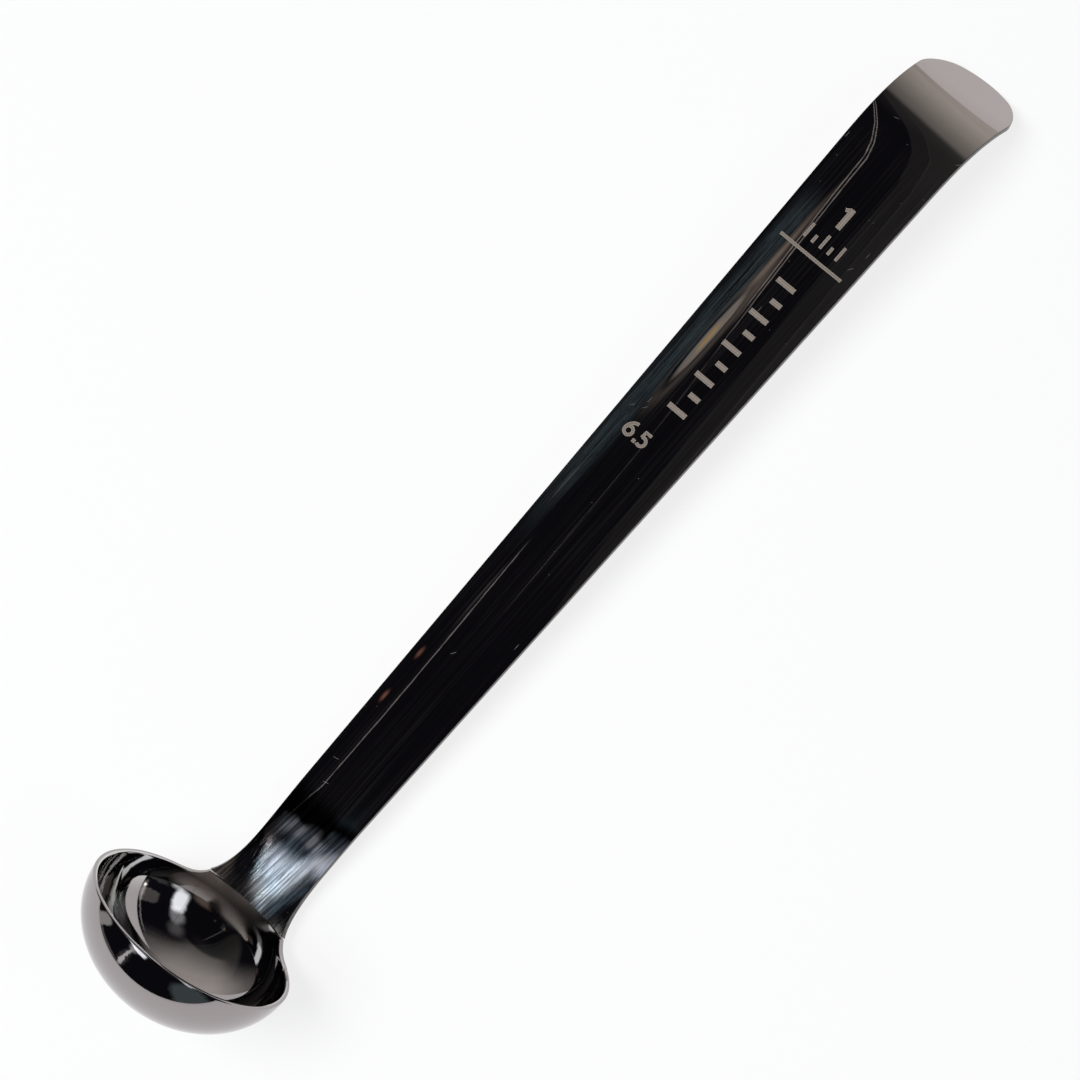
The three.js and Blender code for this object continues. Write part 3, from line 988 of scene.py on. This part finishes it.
WINDOW_SHAPE = (2, 0.2, 1.0)
ROOM_DARK = (0.0080, 0.0078, 0.0112)
PANEL_LIGHT = (0.150, 0.147, 0.136)
PANEL_MIDDLE = 22.0
PANEL_SIDES = (14.0, 38.0)
PANEL_TOP = (40.0, 45.5)
PANEL_FOOT = (-30.0, -5.0)
TEAL_LIGHT = (0.042, 0.068, 0.080)
TEAL_MIDDLE = 0.148
WALL_TOP_LIGHT = (0.95, 1.0, 0.90)
WALL_TOP_STEPS = (0.018, 0.010, 0.032)
WALL_TOP_TRIM = 0.022
RAIL_LIGHT = (0.36, 0.355, 0.345)
RAIL_HALF = 0.0018
# Bent lines on the ceiling's map: y at the start, the bends as bent_line takes them, and the
# width over which the corners are rounded.
FIRST_EDGE = (0.3085, ((0.15, 0.45, -1), (0.0, -0.20, -1), (-0.07, 1.5, -1), (0.07, 0.45, 1),
                       (0.11, -0.45, 1)), 0.05)
FIRST_EDGE_FAR_BENDS = (((0.30, -0.22, 1), (0.60, -0.25, 1)), 0.25)
SECOND_EDGE = (0.3935, ((0.15, 0.28, -1), (0.40, -0.15, 1), (0.74, -0.5, 1),
                        (-0.07, 1.5, -1)), 0.05)
LEFT_RAIL = (0.206, ((-0.19, -0.07, -1), (-0.15, -0.20, 1)), 0.02)
RIGHT_RAIL = (0.2000, ((0.10, -0.17, 1), (0.10, 0.63, -1), (-0.01, -0.44, -1)), 0.03)
FLOOR_HALF = 6.0
LAMP_PLACE = (-0.30, 0.25, 0.95)
LAMP_SIZE = 0.7
CAMERA_RIGHT = (0.66631, -0.72462, -0.17594)
CAMERA_UP = (0.74473, 0.63480, 0.20595)
CAMERA_BACK = (-0.03754, -0.26826, 0.96262)
CAMERA_PLACE = (-19.27 * MM, -107.42 * MM, 401.37 * MM)
CAMERA_SENSOR, CAMERA_LENS = 36.0, 94.05
CAMERA_CLIP = (0.01, 50.0)


def patch_group():
    """Node group: how much a place lies in a patch, from 0 outside to 1 inside.

    The distance is (|aside / half width|^power + |up / half height|^power)^(1 / power)."""
    tree = bpy.data.node_groups.new("studio_patch", "ShaderNodeTree")
    for name in ("Aside", "Up", "Middle", "Height", "Half width", "Half height", "Power",
                 "Fade from", "Fade to"):
        tree.interface.new_socket(name, in_out="INPUT", socket_type="NodeSocketFloat")
    tree.interface.new_socket("Share", in_out="OUTPUT", socket_type="NodeSocketFloat")
    nodes = Nodes(tree)
    given = nodes.node("NodeGroupInput").outputs
    parts = []
    for place, middle, half in (("Aside", "Middle", "Half width"),
                                ("Up", "Height", "Half height")):
        part = nodes.math("DIVIDE", nodes.away(given[place], given[middle]), given[half])
        parts.append(nodes.math("POWER", part, given["Power"]))
    reach = nodes.math("POWER", nodes.math("ADD", *parts),
                       nodes.math("DIVIDE", 1.0, given["Power"]))
    share = nodes.fade_out(reach, given["Fade from"], given["Fade to"])
    nodes.node("NodeGroupOutput", {"Share": share})
    return tree


def studio_maps(nodes):
    """The two places on each map for the direction looked in, a little uneven as by ripples."""
    direction = nodes.node("ShaderNodeTexCoord").outputs["Generated"]
    direction = nodes.vector_math("NORMALIZE", direction)
    split = nodes.split(direction)
    uneven = nodes.node("ShaderNodeTexNoise", {"Vector": direction, "Scale": 16.0,
                                               "Detail": 1.0}).outputs["Color"]
    uneven = nodes.split(uneven)
    degrees = 180 / math.pi
    azimuth = nodes.times(nodes.math("ARCTAN2", split["Y"], split["X"]), degrees)
    elevation = nodes.times(nodes.math("ARCSINE", split["Z"]), degrees)
    height = nodes.largest(split["Z"], 0.02)
    x = nodes.math("DIVIDE", split["X"], height)
    y = nodes.math("DIVIDE", split["Y"], height)
    wander_x = nodes.plus(-0.5, uneven["X"], 1.0)
    wander_y = nodes.plus(-0.5, uneven["Y"], 1.0)
    return {
        "wall": (nodes.plus(azimuth, wander_x, 4.0), nodes.plus(elevation, wander_y, 2.5)),
        "slope": (nodes.plus(x, wander_x, 0.05), nodes.plus(y, wander_y, 0.05)),
        "plain": (azimuth, elevation),
        "ceiling": (x, y),
    }


def bent_line(nodes, x, start, bends, rounding):
    """Place along a bent line: the start, plus slope x max(0, +-(x - at)) for each bend.

    A bend is (at, slope past it, side), where side -1 counts to the left. Its corner is
    rounded over the given width."""
    total = start
    for at, slope, side in bends:
        past = nodes.times(nodes.minus(x, at), float(side))
        past = nodes.math("SMOOTH_MAX", past, 0.0, rounding)
        total = nodes.plus(total, past, float(slope))
    return total


def panel_light(nodes, azimuth, elevation):
    """Pale wall panel with its top at 43 degrees, and soft at both sides."""
    aside = nodes.away(azimuth, PANEL_MIDDLE)
    return nodes.times(nodes.fade_out(aside, *PANEL_SIDES),
                       nodes.fade_out(elevation, *PANEL_TOP),
                       nodes.smooth(elevation, *PANEL_FOOT))


def wall_top_light(nodes, x, y):
    """Upper wall: two steps and a slow rise past two bent edges on the ceiling's map, with a
    thin trim on the second edge."""
    edge = bent_line(nodes, x, *FIRST_EDGE)
    edge = bent_line(nodes, x, edge, *FIRST_EDGE_FAR_BENDS)
    past = nodes.minus(y, edge)
    past_two = nodes.minus(y, bent_line(nodes, x, *SECOND_EDGE))
    first, second, rise = WALL_TOP_STEPS
    light = nodes.times(nodes.smooth(past, -0.003, 0.005), first)
    light = nodes.plus(light, nodes.smooth(past_two, -0.003, 0.006), second)
    light = nodes.plus(light, nodes.smooth(past, 0.08, 0.60), rise)
    trim = nodes.fade_out(nodes.math("ABSOLUTE", past_two), 0.0015, 0.0040)
    light = nodes.plus(light, trim, WALL_TOP_TRIM)
    behind = nodes.fade_out(nodes.minus(y, x), 0.55, 0.85)
    near = nodes.fade_out(y, 1.6, 2.6)
    return nodes.times(light, nodes.times(near, behind))


def thin_line(nodes, away, half):
    return nodes.fade_out(nodes.math("ABSOLUTE", away), half * 0.5, half * 1.4)


def rail_light(nodes, x, y):
    """Two thin rails on the ceiling: one to the left, one to the right that is double past
    x = 0.05 and faint before x = 0.03."""
    away = nodes.minus(y, bent_line(nodes, x, *LEFT_RAIL))
    left = nodes.times(thin_line(nodes, away, 0.0015), nodes.fade_out(x, -0.080, -0.066),
                       nodes.smooth(x, -0.42, -0.37))
    away = nodes.minus(y, bent_line(nodes, x, *RIGHT_RAIL))
    one = nodes.times(thin_line(nodes, away, RAIL_HALF), nodes.smooth(x, 0.02, 0.06, 0.16, 1.0))
    two = nodes.times(thin_line(nodes, nodes.math("ADD", away, 0.011), RAIL_HALF),
                      nodes.smooth(x, 0.035, 0.06))
    right = nodes.times(nodes.largest(one, two), nodes.smooth(x, -0.10, -0.075),
                        nodes.fade_out(x, 0.45, 0.75))
    return nodes.largest(left, right)


def teal_light(nodes, x, y):
    """Dim haze in thin bands that run along x."""
    place = nodes.node("ShaderNodeCombineXYZ", {"X": x, "Y": y}).outputs[0]
    bands = nodes.smooth(nodes.noise(place, (30, 300, 1), 3, 0.65), 0.36, 0.64, 0.05, 1.5)
    haze = nodes.times(nodes.fade_out(nodes.away(y, TEAL_MIDDLE), 0.012, 0.048),
                       nodes.times(nodes.smooth(x, -0.08, -0.02),
                                   nodes.fade_out(x, 0.078, 0.098)))
    return nodes.times(haze, bands)


def add_light(nodes, total, share, light):
    glow = nodes.node("ShaderNodeVectorMath", operation="SCALE")
    glow.inputs[0].default_value = light
    nodes.feed(glow.inputs["Scale"], share)
    return nodes.vector_math("ADD", glow.outputs[0], total)


def make_world():
    """Dark room with soft patches of light, which are added up."""
    world = bpy.data.worlds.new("studio")
    bpy.context.scene.world = world
    world.use_nodes = True
    nodes = Nodes(world.node_tree)
    group = patch_group()
    maps = studio_maps(nodes)
    total = ROOM_DARK
    window = tuple((name, "slope", *place, *WINDOW_SHAPE, light)
                   for name, *place, light in WINDOW_PANES)
    for name, drawn_on, middle, height, width, tall, power, fade, out, light in (
            STUDIO_PATCHES + window):
        patch = nodes.node("ShaderNodeGroup", node_tree=group, label=name)
        aside, up = maps[drawn_on]
        values = {"Aside": aside, "Up": up, "Middle": middle, "Height": height,
                  "Half width": width, "Half height": tall, "Power": power,
                  "Fade from": fade, "Fade to": out}
        for key, value in values.items():
            nodes.feed(patch.inputs[key], value)
        total = add_light(nodes, total, patch.outputs["Share"], light)
    total = add_light(nodes, total, wall_top_light(nodes, *maps["ceiling"]), WALL_TOP_LIGHT)
    total = add_light(nodes, total, rail_light(nodes, *maps["ceiling"]), RAIL_LIGHT)
    total = add_light(nodes, total, teal_light(nodes, *maps["ceiling"]), TEAL_LIGHT)
    total = add_light(nodes, total, panel_light(nodes, *maps["plain"]), PANEL_LIGHT)
    background = nodes.node("ShaderNodeBackground", {"Color": total, "Strength": 1.0})
    nodes.node("ShaderNodeOutputWorld", {"Surface": background.outputs[0]})


def floor_material(studio):
    """Plain pale floor that keeps the shadow, and shows mostly white to the camera, to
    metal and to glass."""
    material, nodes = new_material("pale_floor")
    paths = nodes.node("ShaderNodeLightPath").outputs
    seen = nodes.largest(paths["Is Camera Ray"], paths["Is Glossy Ray"],
                         paths["Is Transmission Ray"])
    share = nodes.times(seen, studio.backdrop_share)
    lit = nodes.node("ShaderNodeBsdfDiffuse", {"Color": colour(studio.floor)})
    white = nodes.node("ShaderNodeEmission", {"Color": (1, 1, 1, 1), "Strength": 1.0})
    mixed = nodes.node("ShaderNodeMixShader", {0: share, 1: lit.outputs[0],
                                               2: white.outputs[0]})
    finish_material(nodes, mixed.outputs[0])
    return material


def make_floor(studio):
    half = FLOOR_HALF
    mesh = bpy.data.meshes.new("floor")
    corners = [(-half, -half, 0), (half, -half, 0), (half, half, 0), (-half, half, 0)]
    mesh.from_pydata(corners, [], [(0, 1, 2, 3)])
    mesh.materials.append(floor_material(studio))
    floor = bpy.data.objects.new("floor", mesh)
    bpy.context.scene.collection.objects.link(floor)


def stand(right, up, back, place):
    """Matrix of an object at a place, from where its own three axes point."""
    turn = np.eye(4)
    turn[:3, 0], turn[:3, 1], turn[:3, 2], turn[:3, 3] = right, up, back, place
    return Matrix(turn.tolist())


def look_from(place):
    """Matrix of a lamp at a place that looks at the middle of the spoon."""
    back = np.array(place) / np.linalg.norm(place)
    right = np.cross((0, 1, 0), back)
    right /= np.linalg.norm(right)
    return stand(right, np.cross(back, right), back, place)


def make_lamp(studio):
    data = bpy.data.lights.new("key_lamp", "AREA")
    data.shape = "DISK"
    data.size = LAMP_SIZE
    data.energy = studio.key_power
    lamp = bpy.data.objects.new("key_lamp", data)
    lamp.matrix_world = look_from(LAMP_PLACE)
    lamp.visible_glossy = False
    bpy.context.scene.collection.objects.link(lamp)


def make_camera():
    """Camera at the photograph's place."""
    data = bpy.data.cameras.new("camera")
    data.sensor_width = CAMERA_SENSOR
    data.lens = CAMERA_LENS
    data.clip_start, data.clip_end = CAMERA_CLIP
    camera = bpy.data.objects.new("camera", data)
    camera.matrix_world = stand(CAMERA_RIGHT, CAMERA_UP, CAMERA_BACK, CAMERA_PLACE)
    bpy.context.scene.collection.objects.link(camera)
    bpy.context.scene.camera = camera


# Add-on

class SPOON_OT_bowl(bpy.types.Operator):
    """Make the bowl"""
    bl_idname = "spoon.bowl"
    bl_label = "Bowl"

    def execute(self, context):
        scene = context.scene
        piece = make_bowl_mesh(scene.spoon_shape)
        piece.data.materials.append(bowl_steel(scene.spoon_finish, scene.spoon_shape))
        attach(piece, BODY)
        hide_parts("bowl")
        return {"FINISHED"}


class SPOON_OT_handle(bpy.types.Operator):
    """Make the handle"""
    bl_idname = "spoon.handle"
    bl_label = "Handle"

    def execute(self, context):
        scene = context.scene
        piece = make_handle_mesh(scene.spoon_shape)
        piece.data.materials.append(handle_steel(scene.spoon_finish, scene.spoon_shape))
        piece.data.materials.append(shaded_edge_steel(scene.spoon_finish))
        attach(piece, BODY)
        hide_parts("handle")
        return {"FINISHED"}


class SPOON_OT_marks(bpy.types.Operator):
    """Lay the frosted marks on the handle's front"""
    bl_idname = "spoon.marks"
    bl_label = "Marks"

    def execute(self, context):
        scene = context.scene
        piece = make_marks_mesh(scene.spoon_shape)
        piece.data.materials.append(frosted_mark(scene.spoon_finish))
        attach(piece, BODY)
        return {"FINISHED"}


class SPOON_OT_studio(bpy.types.Operator):
    """Set up the floor, the light and the camera"""
    bl_idname = "spoon.studio"
    bl_label = "Studio"

    def execute(self, context):
        scene = context.scene
        make_world()
        make_floor(scene.spoon_studio)
        make_lamp(scene.spoon_studio)
        make_camera()
        scene.view_settings.view_transform = "Standard"
        return {"FINISHED"}


class SPOON_PT_parts(bpy.types.Panel):
    """Spoon's pieces and settings"""
    bl_label = "Tea Measuring Spoon"
    bl_idname = "SPOON_PT_parts"
    bl_space_type = "VIEW_3D"
    bl_region_type = "UI"
    bl_category = "Spoon"

    def draw(self, context):
        layout = self.layout
        for group in ("spoon_shape", "spoon_finish", "spoon_studio"):
            settings = getattr(context.scene, group)
            box = layout.box()
            box.label(text=group.replace("_", " ").title())
            for name in settings.__annotations__:
                box.prop(settings, name)
        for operator in (SPOON_OT_bowl, SPOON_OT_handle, SPOON_OT_marks, SPOON_OT_studio):
            layout.operator(operator.bl_idname)


CLASSES = (SpoonShape, SpoonFinish, SpoonStudio, SPOON_OT_bowl, SPOON_OT_handle,
           SPOON_OT_marks, SPOON_OT_studio, SPOON_PT_parts)


def register():
    for cls in CLASSES:
        bpy.utils.register_class(cls)
    bpy.types.Scene.spoon_shape = bpy.props.PointerProperty(type=SpoonShape)
    bpy.types.Scene.spoon_finish = bpy.props.PointerProperty(type=SpoonFinish)
    bpy.types.Scene.spoon_studio = bpy.props.PointerProperty(type=SpoonStudio)


def unregister():
    del bpy.types.Scene.spoon_shape
    del bpy.types.Scene.spoon_finish
    del bpy.types.Scene.spoon_studio
    for cls in reversed(CLASSES):
        bpy.utils.unregister_class(cls)


def main():
    register()
    bpy.ops.spoon.bowl()
    bpy.ops.spoon.handle()
    bpy.ops.spoon.marks()
    bpy.ops.spoon.studio()


if __name__ == "__main__":
    main()
